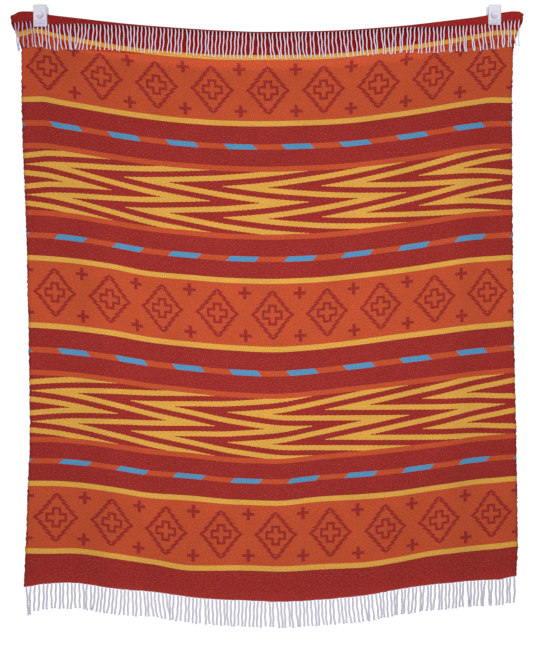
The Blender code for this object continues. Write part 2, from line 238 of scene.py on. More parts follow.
plastic = plastic_material()
for side in CLIP_PLACES:
    node = f"clip_{side}_back"
    low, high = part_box(node)
    bm = plate(JAW_WIDE, BACK_HIGH, BACK_THICK)
    ridge_top, ridge_foot = RIDGE_DROP
    ridge = bmesh.ops.create_cube(bm, size=1.0)["verts"]
    reach = high[1] - low[1] - BACK_THICK / 2
    bmesh.ops.scale(bm, vec=(RIDGE_WIDE, reach, ridge_foot - ridge_top), verts=ridge)
    bmesh.ops.translate(bm, verts=ridge, vec=(
        0, -reach / 2 - BACK_THICK / 2, BACK_HIGH / 2 + BACK_DROP - (ridge_top + ridge_foot) / 2))
    edges = dict.fromkeys(edge for vert in ridge for edge in vert.link_edges)
    bmesh.ops.bevel(bm, geom=list(edges), offset=RIM_ROUND, segments=RIDGE_FACES, profile=0.5,
                    affect="EDGES", material=-1)
    bmesh.ops.translate(bm, verts=bm.verts, vec=(
        (low[0] + high[0]) / 2, high[1], (low[2] + high[2]) / 2))
    in_order(bm)
    jaw = finish_piece(f"back_jaw_{side}", bm, plastic, SHARP_ANGLE)
    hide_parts(node)


# The cloth. It is one loom width of brushed wool, 1.5 m wide and 1.69 m long, about 2.4 mm
# thick. Its top end is folded over to the front and pinched by the clips near the corners,
# so that the fold sags between them and the end band makes a short flap in front.
CLOTH_WIDTH = 1500 * MM
CLOTH_LENGTH = 1686 * MM
CLOTH_THICK = 2.4 * MM
FLAP_NARROWS = 0.007        # share of its width that the flap loses down to its hem
PINCH = 2.2                 # radius of the fold where a clip pinches it, in millimetres
JAW_GAP = 0.3 * MM
STAND_OFF = BACK_THICK + JAW_GAP + CLOTH_THICK / 2
GRIP_HALF = 25 * MM         # a clip holds the cloth flat this far to each side
GRIP_END = 85 * MM          # and this far down
GRIP_SPREAD = (90 * MM, 140 * MM)   # and lets it go over about this much more, aside and down

# In millimetres: place across the cloth, drop of the crest below the clips' tops, length of
# the flap in front, radius of the rolled edge
TOP_EDGE = {
    "across": (-750, -720, -690, -636, -600, -500, -375, -250, -125, 0,
               125, 250, 375, 500, 600, 640, 692, 720, 739, 750),
    "crest": (33, 20, 20, 30, 35, 48, 61, 71, 78, 82,
              80, 75, 66, 52, 39, 32, 23, 20, 21, 28),
    "flap": (22, 31, 29, 28, 23, 13, 6, 4, 4, 5,
             4, 4, 5, 16, 23, 26, 28, 28, 25.5, 18),
    "roll": (3.5, 3.5, PINCH, PINCH, 4, 7, 8, 8, 8, 8,
             8, 8, 8, 7, 4, PINCH, PINCH, 3.5, 3.5, 3.5),
}

# Rows down the cloth: place along the weave, drop in the middle, left edge, middle and right
# edge, and how far the middle stands off the clips
ROWS = {
    "down": (0, 40, 98, 150, 195, 293, 358, 430, 520, 617, 700, 746,
             843, 941, 1050, 1167, 1265, 1394, 1491, 1589, 1686),
    "drop": (58, 98, 157, 209, 254, 350, 417, 491, 582, 681, 766, 810,
             908, 1009, 1125, 1240, 1334, 1456, 1550, 1648, 1743),
    "left": (-750, -750, -731, -716, -716, -717, -716, -714, -710, -706, -703, -702,
             -700, -697, -695, -693, -692, -698, -702, -707, -711),
    "middle": (0, 0, 1, 2, 3, 5, 6, 8, 10, 12, 14, 15,
               16, 18, 19, 20, 21, 23, 24, 24, 22),
    "right": (749, 749, 733, 720, 718, 716, 716, 716, 717, 717, 718, 718,
              719, 720, 722, 724, 726, 728, 730, 732, 727),
    "proud": (2, 5, 16, 19, 17, 10, 9, 8, 7, 7, 7, 8,
              9, 11, 13, 16, 18, 17, 12, 7, 9),
}

# How far the six yellow lines, five rows between them and the hem rise above their own
# middle towards the sides
RISE_DOWN = {"first": 98, "diamonds": 195, "second": 293, "red": 470, "zigzag": 640, "third": 746,
             "fourth": 941, "low_zigzag": 1167, "fifth": 1394, "low_diamonds": 1491,
             "sixth": 1589, "hem": 1686}
RISE = {
    "across": (-750, -690, -625, -500, -375, -250, -125, 0,
               125, 250, 375, 500, 625, 690, 750),
    "first": (69, 82, 67, 40, 21, 8, 1, 0, 1, 10, 25, 41, 65, 76, 76),
    "diamonds": (70, 76, 65, 42, 23, 10, 2, 0, 2, 10, 25, 43, 65, 75, 74),
    "second": (72, 73, 62, 41, 23, 9, 2, 0, 3, 10, 25, 43, 62, 70, 69),
    "red": (69, 69, 61, 40, 23, 11, 3, 0, 4, 12, 25, 42, 61, 67, 68),
    "zigzag": (73, 71, 65, 45, 26, 13, 3, 0, 4, 15, 31, 48, 66, 70, 73),
    "third": (70, 67, 62, 45, 23, 12, 3, 0, 4, 15, 29, 46, 63, 67, 70),
    "fourth": (72, 69, 64, 49, 28, 15, 5, 0, 7, 20, 36, 51, 66, 71, 76),
    "low_zigzag": (67, 66, 62, 48, 30, 17, 4, 0, 10, 23, 36, 50, 66, 71, 76),
    "fifth": (57, 57, 54, 41, 21, 14, 3, 0, 11, 18, 28, 47, 62, 67, 72),
    "low_diamonds": (54, 52, 51, 39, 18, 5, 3, 0, 7, 11, 25, 46, 59, 64, 72),
    "sixth": (51, 50, 51, 40, 20, 2, 2, 0, 5, 10, 26, 50, 60, 66, 73),
    "hem": (41, 50, 53, 41, 28, 12, 3, 0, 4, 15, 34, 53, 60, 63, 74),
}

# How far the weave is pulled sideways, to the right, within the cloth at seven rows
PULL_DOWN = {"top": 40, "pluses": 105, "diamonds": 195, "dashes": 358, "second": 843,
             "low_dashes": 1005, "third": 1491}
PULL = {
    "across": (-750, -732, -660, -500, -333, -167, 0, 167, 333, 500, 640, 750),
    "top": (0, 0, 0, 0, 0, 0, 0, 0, 0, 0, 0, 0),
    "pluses": (-1, -7, -7.5, -8, -8, -6, -0.5, 3, 4.5, 4, 2.5, 0),
    "diamonds": (-1, -7.5, -6.5, -7.5, -6.5, -3, 0, 3, 4, 5, 3.5, 0),
    "dashes": (0, 0, -1, -2, -2, -1, 0, 1, 1.5, 2, 2.5, 0),
    "second": (0, 0, 0, 2, -6, -3, 0, 2, 1.5, 3, 2, 0),
    "low_dashes": (0, 1, 2, 3, 2, 1, 1.5, 2, 2, 2.5, 2.5, 0),
    "third": (0, 1, 6, 6.5, 1, 1.5, 1.5, 2, 5.5, 4, 2.5, 0),
}

# Soft folds down the cloth: crest at the top and at the hem, half its width, and how far it
# stands forward at the top and at the hem
FOLDS = (
    {"top": -560, "foot": -470, "half": 80, "high": 6, "low": 24},
    {"top": -250, "foot": -215, "half": 95, "high": 4, "low": 13},
    {"top": 60, "foot": 45, "half": 105, "high": 5, "low": 18},
    {"top": 330, "foot": 270, "half": 85, "high": 4, "low": 11},
    {"top": 600, "foot": 500, "half": 75, "high": 6, "low": 25},
    {"top": 750, "foot": 735, "half": 60, "high": 0, "low": 12},
)
CLOTH_COLUMNS = 130
FLAP_ROWS = 6
ROLL_ROWS = 5
LEAD_ROWS = 10
PANEL_ROWS = 320
RIPPLE = 0.9 * MM
RIPPLE_PACE = (11, 8)       # how many there are to the metre, across and down
RIPPLE_FINER = 2.7          # and half as high ones, this many times as close
RAGGED = 3.1 * MM
RAGGED_PACE = 145
RAGGED_STRIP = 9 * MM       # only this near to the cloth's edges
SHORT_FLAP = 0.7            # share of a short flap's length that the front of the roll takes


def slope(places, values, k):
    """The slope at point k of a curve that never swings past its points."""
    if k in (0, len(places) - 1):
        return 0.0
    before = (values[k] - values[k - 1]) / (places[k] - places[k - 1])
    after = (values[k + 1] - values[k]) / (places[k + 1] - places[k])
    if before * after <= 0:
        return 0.0
    return 2 * before * after / (before + after)


def smooth(places, values, at):
    """Read a smooth curve through the points at one place."""
    if at <= places[0]:
        return values[0]
    for k in range(len(places) - 1):
        if at <= places[k + 1]:
            break
    else:
        return values[-1]
    span = places[k + 1] - places[k]
    part = (at - places[k]) / span
    leaving = slope(places, values, k) * span
    arriving = slope(places, values, k + 1) * span
    low, high = values[k], values[k + 1]
    return (low * (1 + 2 * part) * (1 - part) ** 2 + leaving * part * (1 - part) ** 2
            + high * part * part * (3 - 2 * part) + arriving * part * part * (part - 1))


@lru_cache(maxsize=None)
def top_edge(across):
    """Crest drop, flap length and roll radius of the fold at one section."""
    return tuple(smooth(TOP_EDGE["across"], TOP_EDGE[column], across / MM) * MM
                 for column in ("crest", "flap", "roll"))


@lru_cache(maxsize=None)
def row(down, column):
    """One measure of the rows down the cloth, read at a place along the weave."""
    return smooth(ROWS["down"], ROWS[column], down / MM) * MM


@lru_cache(maxsize=None)
def rise_column(across):
    return tuple(smooth(RISE["across"], RISE[name], across / MM) for name in RISE_DOWN)


def rise(across, down):
    """How far a place in the weave hangs above the middle of its own row."""
    return smooth(tuple(RISE_DOWN.values()), rise_column(across), down / MM) * MM


@lru_cache(maxsize=None)
def pull_column(across):
    return tuple(smooth(PULL["across"], PULL[name], across / MM) for name in PULL_DOWN)


def pull(across, down):
    """How far a place in the weave is pulled to the right."""
    return smooth(tuple(PULL_DOWN.values()), pull_column(across), down / MM) * MM


def slack(across, down):
    """0 where a clip holds the cloth flat, rising to 1 away from the clips."""
    free = 1.0
    for place in CLIP_PLACES.values():
        aside = max(0.0, abs(across - place) - GRIP_HALF) / GRIP_SPREAD[0]
        below = max(0.0, down - GRIP_END) / GRIP_SPREAD[1]
        free *= 1 - math.exp(-(aside ** 2 + below ** 2))
    return free


def stand(across, down):
    """How far the middle of the cloth's thickness stands off the wall."""
    proud = row(down, "proud")
    fall = min(1.0, max(0.0, down / CLOTH_LENGTH))
    for fold in FOLDS:
        crest = (fold["top"] + (fold["foot"] - fold["top"]) * fall) * MM
        height = (fold["high"] + (fold["low"] - fold["high"]) * fall) * MM
        proud += height * math.exp(-((across - crest) / (fold["half"] * MM)) ** 2)
    return STAND_OFF + slack(across, down) * proud


@lru_cache(maxsize=None)
def hem_arc(across):
    """Length of cloth from the crest of the fold to the hem in front."""
    crest, flap, roll = top_edge(across)
    if flap < roll:
        return roll * math.acos(1 - flap / roll)
    return roll * math.pi / 2 + flap - roll


@lru_cache(maxsize=None)
def roll_end(across):
    """Place along the weave where the rolled edge ends and the hanging cloth begins."""
    return hem_arc(across) + top_edge(across)[2] * math.pi / 2


def fold_point(across, arc):
    """A point of the fold, by the cloth's length from the crest: positive in front, negative
    behind."""
    crest, flap, roll = top_edge(across)
    quarter = roll * math.pi / 2
    turn = max(-quarter, min(quarter, arc)) / roll
    straight = max(0.0, arc - quarter)
    centre = stand(across, roll_end(across)) + roll
    narrow = 1 - FLAP_NARROWS * max(0.0, arc) / hem_arc(across)
    return Vector((across * narrow,
                   -(centre + roll * math.sin(turn)),
                   -(crest + roll * (1 - math.cos(turn)) + straight)))


def panel_point(across, down):
    """A point of the hanging cloth below the fold."""
    side = across / (CLOTH_WIDTH / 2)
    x = (row(down, "middle") * (1 - side * side) + row(down, "right") * side * (1 + side) / 2
         - row(down, "left") * side * (1 - side) / 2 + pull(across, down))
    first = RISE_DOWN["first"] * MM
    start = roll_end(across)
    if down < first:
        crest, flap, roll = top_edge(across)
        below = row(first, "drop") - rise(across, first)
        drop = crest + roll + (below - crest - roll) * (down - start) / (first - start)
    else:
        drop = row(down, "drop") - rise(across, down)
    return Vector((x, -stand(across, down), -drop))


def cloth_places(across):
    """Every row of one column: the place along the weave, and the point where it hangs."""
    hem, roll = hem_arc(across), top_edge(across)[2]
    quarter = roll * math.pi / 2
    front = min(quarter, SHORT_FLAP * hem)
    arcs = [hem + (front - hem) * k / FLAP_ROWS for k in range(FLAP_ROWS)]
    arcs += [front * (1 - k / ROLL_ROWS) for k in range(ROLL_ROWS)]
    arcs += [-quarter * k / ROLL_ROWS for k in range(ROLL_ROWS)]
    for arc in arcs:
        yield hem - arc, fold_point(across, arc)
    start, first = hem + quarter, RISE_DOWN["first"] * MM
    downs = [start + (first - start) * k / LEAD_ROWS for k in range(LEAD_ROWS)]
    downs += [first + (CLOTH_LENGTH - first) * k / PANEL_ROWS for k in range(PANEL_ROWS + 1)]
    for down in downs:
        yield down, panel_point(across, down)


def unsettle(point, across, down):
    """Small ripples of the cloth's face, and the slightly ragged line of its edges."""
    loose = slack(across, down)
    place = Vector((across * RIPPLE_PACE[0], down * RIPPLE_PACE[1], 0))
    point.y -= RIPPLE * loose * (noise.noise(place) + 0.5 * noise.noise(place * RIPPLE_FINER))
    near_side = max(0.0, 1 - (CLOTH_WIDTH / 2 - abs(across)) / RAGGED_STRIP)
    point.x += RAGGED * near_side * noise.noise(Vector((down * RAGGED_PACE, across, 3)))
    near_hem = max(0.0, 1 - (CLOTH_LENGTH - down) / RAGGED_STRIP)
    point.z += RAGGED / 2 * near_hem * noise.noise(Vector((across * RAGGED_PACE, 5, down)))
    return point


COLOUR = {
    "red": (0.300, 0.0205, 0.0135),
    # painted shade: the deeper red where the flap and the top cords shade the cloth
    "painted_shade_red": (0.310, 0.0045, 0.0020),
    "flap_red": (0.305, 0.0125, 0.0080),
    "orange": (0.500, 0.0700, 0.0185),
    "yellow": (0.675, 0.348, 0.054),
    "blue": (0.076, 0.268, 0.462),
    "fleck": (0.430, 0.290, 0.430),
}

# The pattern in millimetres. Every group of bands is even about the middle of its diamond
# band, and the groups repeat down the cloth
GROUP = 648
FIRST_DIAMONDS = 195
END_BAND = 90
BAND_EDGES = {"diamonds": 90, "yellow": 105, "red": 156, "dashes": 171, "dark": 219,
              "orange": 234}
DIAMOND_PITCH = 1500 / 9
DIAMOND_HALF = 61.4
DIAMOND_HIGH = 70.5
DIAMOND_SLOPE = 0.828
DIAMOND_STEP = 14.65
DIAMOND_TOOTH = 8.5
DIAMOND_LINE = 6.4
CROSS_LONG = (31.6, 30)
CROSS_ARM = 12.9
CROSS_LINE = 7.4
PLUS_OFF = 61.5
PLUS_LONG = (19.5, 18.7)
PLUS_ARM = 5.2
DASH_PITCH = 175.5
DASH_LONG = 87.5
ZIGZAG_PERIOD = 300
ZIGZAG_SHIFT = 150
ZIGZAG_REACH = 1.41
ZIGZAG_YELLOW = (0.462, 0.037)
ZIGZAG_HIGH = 45
ZIGZAG_WANDER = 0.014
PICK = 1.5

# Painted shade on the weave, in millimetres from the top hem or from the middle. A deeper red
# for the shade of the flap and the top cords begins behind the flap, further down at the sides
FLAP_SHADE_FROM = 12
FLAP_SHADE_FALLS = 24
FLAP_SHADE_SIDE = 690
# The top cords lie over the cloth down to here in the middle, and further down at the sides.
# Under them it loses these shares of red, green and blue as painted shade: everywhere, below
# the yellow line, and in the cords' painted shadows there
UNDER_MIDDLE = 74.5
UNDER_WIDENS = 0.09
UNDER_CORDS_SHADE = ((0.0, 0.10, 0.72), (0.08, 0.26, 0.0), (0.36, 0.44, 0.0))
# Painted light: brighter are a band at the cords' tips, the right end of the flap, and the hem at
# the bottom
TIPS_DOWN = 117
TIPS_HALF = 24
TIPS_GAIN = 0.24
SUNNY_FROM = 400
SUNNY_WIDE = 312
HEM_GLOW = 48
SIDE_GAIN = 0.2
FLECK_SHARE = 0.24
# Noises on the weave, in patches to the metre: hairs and bushes of hair push the edges of the
# pattern by up to half of so many millimetres across and down
HAIRS = 420.0
HAIR_PUSH = (2.2, 1.6)
BUSHES = 170.0
BUSH_PUSH = (1.4, 1.2)
WANDERS = 22.0
SHADOWS = 150.0
SHADOW_FROM = 0.53
FLECKS = 330.0
FLECK_GAIN = (5.5, 3.0)
# How uneven the wool's tone is: patches to the metre, gain and base, and detail
WORN = (9.0, 0.24, 0.88, 4.0)
TUFTS = (300.0, 1.1, 0.45)
STREAKS = (320.0, 0.2, 0.9)
TUFT_LAYER = 4.0            # a layer of the noise that the others don't read
# How high the knots of the weave, the hairs and the finest fuzz stand, against each other
KNOT = (2.0 * MM, 2.2 * MM)
KNOT_HIGH = 0.35
HAIR_HIGH = 1.1
FUZZ = 1500.0
FUZZ_HIGH = 0.5
CLOTH_BUMP = (0.5, 0.5 * MM)


def either(a, b):
    """The greater of two values: a mask that holds where one of two masks does."""
    return a.math("MAXIMUM", b)


def both(a, b):
    """The lesser of two values: a mask that holds where two masks do."""
    return a.math("MINIMUM", b)


def stepped(value):
    """A place rounded to the middle of its woven cell."""
    return ((value / PICK).math("FLOOR") + 0.5) * PICK


def cross_depth(aside, up, arm, long):
    """Below 0 inside an upright cross: how deep a place lies in it."""
    upright = either(aside - arm, up - long[1])
    level = either(aside - long[0], up - arm)
    return both(upright, level)


def cloth_material():
    """Brushed wool in a two-colour weave, with pale warp flecks all over."""
    made, shader, shade = new_material(
        "woven_wool", 0.95, Sheen_Weight=0.04, Sheen_Roughness=0.6, Specular_IOR_Level=0.06)
    uv = shade.node("ShaderNodeUVMap", {"uv_map": "cloth"}, {})
    u, v, unused = uv.parts()
    hairy = shade.grain(uv, HAIRS, 3.0)
    bushy = shade.grain(uv, BUSHES)
    across, down = (
        place * (1 / MM) + (hairy - 0.5) * hair_push + (bushy - 0.5) * bush_push
        for place, hair_push, bush_push in zip((u - CLOTH_WIDTH / 2, v), HAIR_PUSH, BUSH_PUSH))

    middle = ((down - FIRST_DIAMONDS) / GROUP + 0.5).math("FRACT") - 0.5
    off = middle.math("ABSOLUTE") * GROUP
    motif_off = stepped(off)
    aside = (((across / DIAMOND_PITCH + 0.5).math("FRACT") - 0.5).math("ABSOLUTE")
             * DIAMOND_PITCH)
    motif_aside = stepped(aside)

    tooth = (motif_off / DIAMOND_STEP).math("FRACT") * DIAMOND_TOOTH
    side_line = motif_aside + motif_off * DIAMOND_SLOPE + tooth - DIAMOND_HALF
    diamond = both(side_line.math("ABSOLUTE") < DIAMOND_LINE, motif_off < DIAMOND_HIGH)
    cross = cross_depth(motif_aside, motif_off, CROSS_ARM, CROSS_LONG)
    cross_line = both(cross < 0, cross > -CROSS_LINE)
    from_plus = (motif_off - PLUS_OFF).math("ABSOLUTE")
    plus = cross_depth(DIAMOND_PITCH / 2 - motif_aside, from_plus, PLUS_ARM, PLUS_LONG) < 0
    motifs = either(either(diamond, cross_line), plus)

    dash_middle = (BAND_EDGES["red"] + BAND_EDGES["dashes"]) / 2
    slanted = across - (off - dash_middle)
    dash = ((slanted / DASH_PITCH + 0.5).math("FRACT") - 0.5).math("ABSOLUTE") * DASH_PITCH
    dashes = dash > (DASH_PITCH - DASH_LONG) / 2

    tri = ((stepped(off - BAND_EDGES["orange"]) / ZIGZAG_HIGH) - 1).math("ABSOLUTE")
    wander = (shade.grain(shade.vector(u, v * 3), WANDERS) - 0.5) * ZIGZAG_WANDER
    wave = ((across + ZIGZAG_SHIFT) / ZIGZAG_PERIOD - tri * ZIGZAG_REACH + wander).math("FRACT")
    zigzag = wave < tri * ZIGZAG_YELLOW[1] + ZIGZAG_YELLOW[0]

    colour = motifs.paint(COLOUR["orange"], COLOUR["red"])
    colour = (off > BAND_EDGES["diamonds"]).paint(colour, COLOUR["yellow"])
    colour = (off > BAND_EDGES["yellow"]).paint(colour, COLOUR["red"])
    dashed = dashes.paint(COLOUR["orange"], COLOUR["blue"])
    colour = (off > BAND_EDGES["red"]).paint(colour, dashed)
    colour = (off > BAND_EDGES["dashes"]).paint(colour, COLOUR["red"])
    colour = (off > BAND_EDGES["dark"]).paint(colour, COLOUR["orange"])
    zigzags = zigzag.paint(COLOUR["red"], COLOUR["yellow"])
    colour = (off > BAND_EDGES["orange"]).paint(colour, zigzags)
    colour = (down > CLOTH_LENGTH / MM - END_BAND).paint(colour, COLOUR["red"])
    # Painted shade below the flap's hem and behind the top cords: a deeper red, without flecks
    flap_shade_from = (across / FLAP_SHADE_SIDE) * (across / FLAP_SHADE_SIDE) * FLAP_SHADE_FALLS + FLAP_SHADE_FROM
    in_flap = down < END_BAND
    deep = both(in_flap, down > flap_shade_from)
    colour = in_flap.paint(colour, COLOUR["flap_red"])
    colour = deep.paint(colour, COLOUR["painted_shade_red"])

    # Painted shade under the top cords, deeper below the yellow line and in patches of painted
    # shadow
    under = both(down > END_BAND,
                 down < across.math("ABSOLUTE") * UNDER_WIDENS + UNDER_MIDDLE)
    under_orange = both(under, down > BAND_EDGES["yellow"])
    shadows = both(under_orange,
                   shade.grain(shade.vector(u, v * 0.3), SHADOWS) > SHADOW_FROM)

    flecks = shade.grain(shade.vector(u, v * 0.8), FLECKS)
    fleck = (flecks * FLECK_GAIN[0] - FLECK_GAIN[1]).held()
    # Flecks are left out where shade is painted: behind the flap and under the top cords
    fleck = fleck * (1 - either(deep, under)) * FLECK_SHARE
    colour = fleck.paint(colour, COLOUR["fleck"])
    worn = shade.uneven(shade.vector(u, v), *WORN)
    tufts = shade.uneven(shade.vector(u, v, TUFT_LAYER), *TUFTS)
    streak = shade.uneven(shade.vector(u, v * 0.12), *STREAKS)
    # Painted light: brighter at the cords' tips, at the flap's right end and towards the bottom
    # hem
    from_tips = (down - TIPS_DOWN) / TIPS_HALF
    tips = (1 - from_tips * from_tips).math("MAXIMUM", 0.0) * TIPS_GAIN + 1
    sunny = ((across - SUNNY_FROM) / SUNNY_WIDE).math("MAXIMUM", 0.0) * in_flap * SIDE_GAIN + 1
    near_hem = ((down - CLOTH_LENGTH / MM) / HEM_GLOW + 1).math("MAXIMUM", 0.0) * SIDE_GAIN + 1
    tone_and_painted_light = worn * tufts * streak * tips * sunny * near_hem
    light = shade.vector(*(
        tone_and_painted_light * (1 - under * everywhere - under_orange * below - shadows * shaded)
        for everywhere, below, shaded in zip(*UNDER_CORDS_SHADE)))
    colour = shade.node("ShaderNodeVectorMath", {"operation": "MULTIPLY"}, {0: colour, 1: light})
    feed(shader, "Base Color", colour)

    ends_up = (u * (2 * math.pi / KNOT[0])).math("SINE")
    picks = (v * (2 * math.pi / KNOT[1])).math("SINE")
    height = (picks * ends_up * KNOT_HIGH + hairy * HAIR_HIGH
              + shade.grain(uv, FUZZ) * FUZZ_HIGH)
    feed_bump(shader, height, *CLOTH_BUMP)
    return made


def make_cloth():
    """A flat grid, hung column by column, with each point's place in the weave as its UV."""
    rows = FLAP_ROWS + 2 * ROLL_ROWS + LEAD_ROWS + PANEL_ROWS
    bm = bmesh.new()
    bmesh.ops.create_grid(bm, x_segments=CLOTH_COLUMNS, y_segments=rows, size=0.5)
    uv = bm.loops.layers.uv.new("cloth")
    by_column = {}
    for vert in bm.verts:
        by_column.setdefault(round((vert.co.x + 0.5) * CLOTH_COLUMNS), []).append(vert)
    weave = {}
    for number, verts in by_column.items():
        across = (number / CLOTH_COLUMNS - 0.5) * CLOTH_WIDTH
        verts.sort(key=lambda vert: -vert.co.y)
        for vert, (down, point) in zip(verts, cloth_places(across)):
            vert.co = HANG + unsettle(point, across, down)
            weave[vert] = (across + CLOTH_WIDTH / 2, down)
    for face in bm.faces:
        for loop in face.loops:
            loop[uv].uv = weave[loop.vert]
    bmesh.ops.recalc_face_normals(bm, faces=bm.faces)
    return bm


cloth = finish_piece("woven_cloth", make_cloth(), cloth_material())
thicken = cloth.modifiers.new("thickness", "SOLIDIFY")
thicken.thickness = CLOTH_THICK
thicken.offset = 0.0
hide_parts("blanket")


# The fringes. The warp yarns run out of both hems and are twisted two-ply into cords, about
# 76 mm long and 4 to 6 mm thick, cut off blunt. The top cords lie on the front of the cloth.
TOP_CORDS = 136
BOTTOM_CORDS = 130
CORD_LENGTH = 76 * MM
CORD_UNEVEN = 2 * MM
CORNER_LONGER = 7 * MM
TOP_RADIUS = 2.05 * MM
BOTTOM_RADIUS = 3.1 * MM
CORD_INSET = 2 * MM
CORNER_CORDS = 2            # cords at the left corner that are longer
PLY_WAIST = 0.7             # how far the cord draws in between its two plies
PLY_ROUND = 0.7             # the lower, the fuller the plies
ROOT_SLIM = 0.8             # the root is slimmer, and the cut end a little wider
ROOT_GROWS = 1.6
TIP_WIDE = 1.1
TIP_FROM = 0.94
CORD_RINGS = 44
CORD_SIDES = 10
TWISTS = 5.5
TUCK = 1.5 * MM             # hidden in the hem
ROOT_LEAD = 6 * MM          # the top cords follow the flap's curve this far
BOTTOM_CALM = 0.9
PAIR_MEETS = 3.8 * MM
CORD_STRAYS = 3.0 * MM
CORD_BOW = 2.5 * MM
CORD_WAVE = 0.8 * MM
# What is added to a cord's number, so that each of its own ways has a value of its own
OWN = {"length": 0.5, "turn": 0.75, "meet": 0.5, "stray": 0.125, "bow": 0.25, "wave": 0.375}
SCRAMBLE = (12.9898, 437.5453)      # two numbers without a pattern
CORD_CLEAR = 0.4 * MM
SEARCH_STEPS = 4
# The bottom cords are painted darker and greyer than the top ones, as shade
YARN = {"top": (0.88, 0.85, 1.0), "bottom": (0.65, 0.63, 0.77)}
YARN_PALE_AND_HIGHLIGHT = {"top": (0.96, 0.95, 1.0), "bottom": (0.86, 0.84, 0.93)}
YARN_GROOVE_SHADE = {"top": (0.43, 0.38, 0.72), "bottom": (0.35, 0.30, 0.48)}
YARN_BUMP = (0.5, 0.3 * MM)
# Fibres: how many around a turn and along a metre, and how far they slant. Patches of paler
# yarn, partly painted highlights, and specks of blue, in patches to the metre
FIBRES = (7, 160, 3)
FIBRE_SCALE = 3.0
YARN_PATCHES = 330.0
YARN_SPECKS = 520.0
SPECK_FROM = 0.585
GROOVE_GAIN = (1.5, 0.75)
GROOVE_SHARE = 0.75
PALE_GAIN = (3.0, 1.4)
VIOLET_SHARE = 0.7
BLUE_SHARE = 0.75
# Painted shade: the tangled top cords further left than this are darker violet
CORNER_SHADED = 678 * MM      # the top cords further left than this are darker
CORNER_SHADE_VIOLET = (0.37, 0.28, 0.52)
CORNER_BLUE = (0.11, 0.13, 0.44)

# Where whole groups of cords lean sideways: place across and lean of the tips, in millimetres
TOP_LEAN = {
    "across": (-740, -700, -650, -610, -565, -535, -510, -470, -430, -390, -300, -230, -130,
               -40, 20, 70, 150, 250, 340, 390, 480, 560, 620, 680, 740),
    "lean": (4, 9, 3, 9, 0, -9, -6, 4, 0, -2, -5, -4, -4,
             -4, 8, 6, 5, 7, 7, -1, 0, 2, 7, 4, -1),
}
BOTTOM_LEAN = {
    "across": (-740, -640, -600, -560, -500, -450, -400, -330, -310, -250, -190, -120, -50,
               10, 60, 120, 180, 220, 300, 370, 430, 500, 560, 600, 620, 680, 740),
    "lean": (0, -2, 3, -1, -8, -1, 3, 12, -3, -3, 3, -2, -3,
             5, 5, 4, 5, 9, 8, 1, -3, -1, -3, 3, -3, 0, -1),
}


def unrest(number):
    """A steady stand-in for chance: a value from -1 to 1 for each number."""
    value = math.sin(number * SCRAMBLE[0]) * SCRAMBLE[1]
    return 2 * (value - math.floor(value)) - 1


def cord_shift(leans, across, number, share):
    """How far a cord strays sideways, from 0 at its root to 1 at its tip: groups lean one
    way, some neighbours meet at their tips, and each cord has a bow and a wave of its own."""
    lean = smooth(leans["across"], leans["lean"], across / MM) * MM
    meet = PAIR_MEETS * max(0.0, unrest(number // 2 + OWN["meet"])) * (1 - 2 * (number % 2))
    stray = CORD_STRAYS * unrest(number + OWN["stray"])
    bow = CORD_BOW * math.sin(math.pi * share) * unrest(number + OWN["bow"])
    wave = CORD_WAVE * math.sin(4 * math.pi * share + math.pi * unrest(number + OWN["wave"]))
    return (lean + meet + stray) * share ** 1.5 + bow + wave * min(1.0, share * 4)


def cloth_behind(point):
    """How far the front of the hanging cloth stands off the wall behind a point."""
    half = CLOTH_WIDTH / 2
    across, down = point.x, GRIP_END
    for step in range(SEARCH_STEPS):
        there = panel_point(across, down)
        across = max(-half, min(half, across + point.x - there.x))
        down = max(roll_end(across), down + there.z - point.z)
    return stand(across, down) + CLOTH_THICK / 2


def top_path(across, number, share, length):
    """The top cords leave the flap's hem along its curve and fall onto the cloth."""
    run = length * share
    start = fold_point(across, hem_arc(across) + min(run, ROOT_LEAD) - TUCK)
    aside = cord_shift(TOP_LEAN, across, number, share)
    point = start + Vector((aside, 0, -max(0.0, run - ROOT_LEAD)))
    if run > ROOT_LEAD:
        rest = cloth_behind(point) + CORD_CLEAR + TOP_RADIUS
        point.y = min(point.y, -rest)
    return point


def bottom_path(across, number, share, length):
    """The bottom cords hang straight down from the hem."""
    start = panel_point(across, CLOTH_LENGTH)
    aside = cord_shift(BOTTOM_LEAN, across, number, share) * BOTTOM_CALM
    return start + Vector((aside, 0, TUCK - length * share))


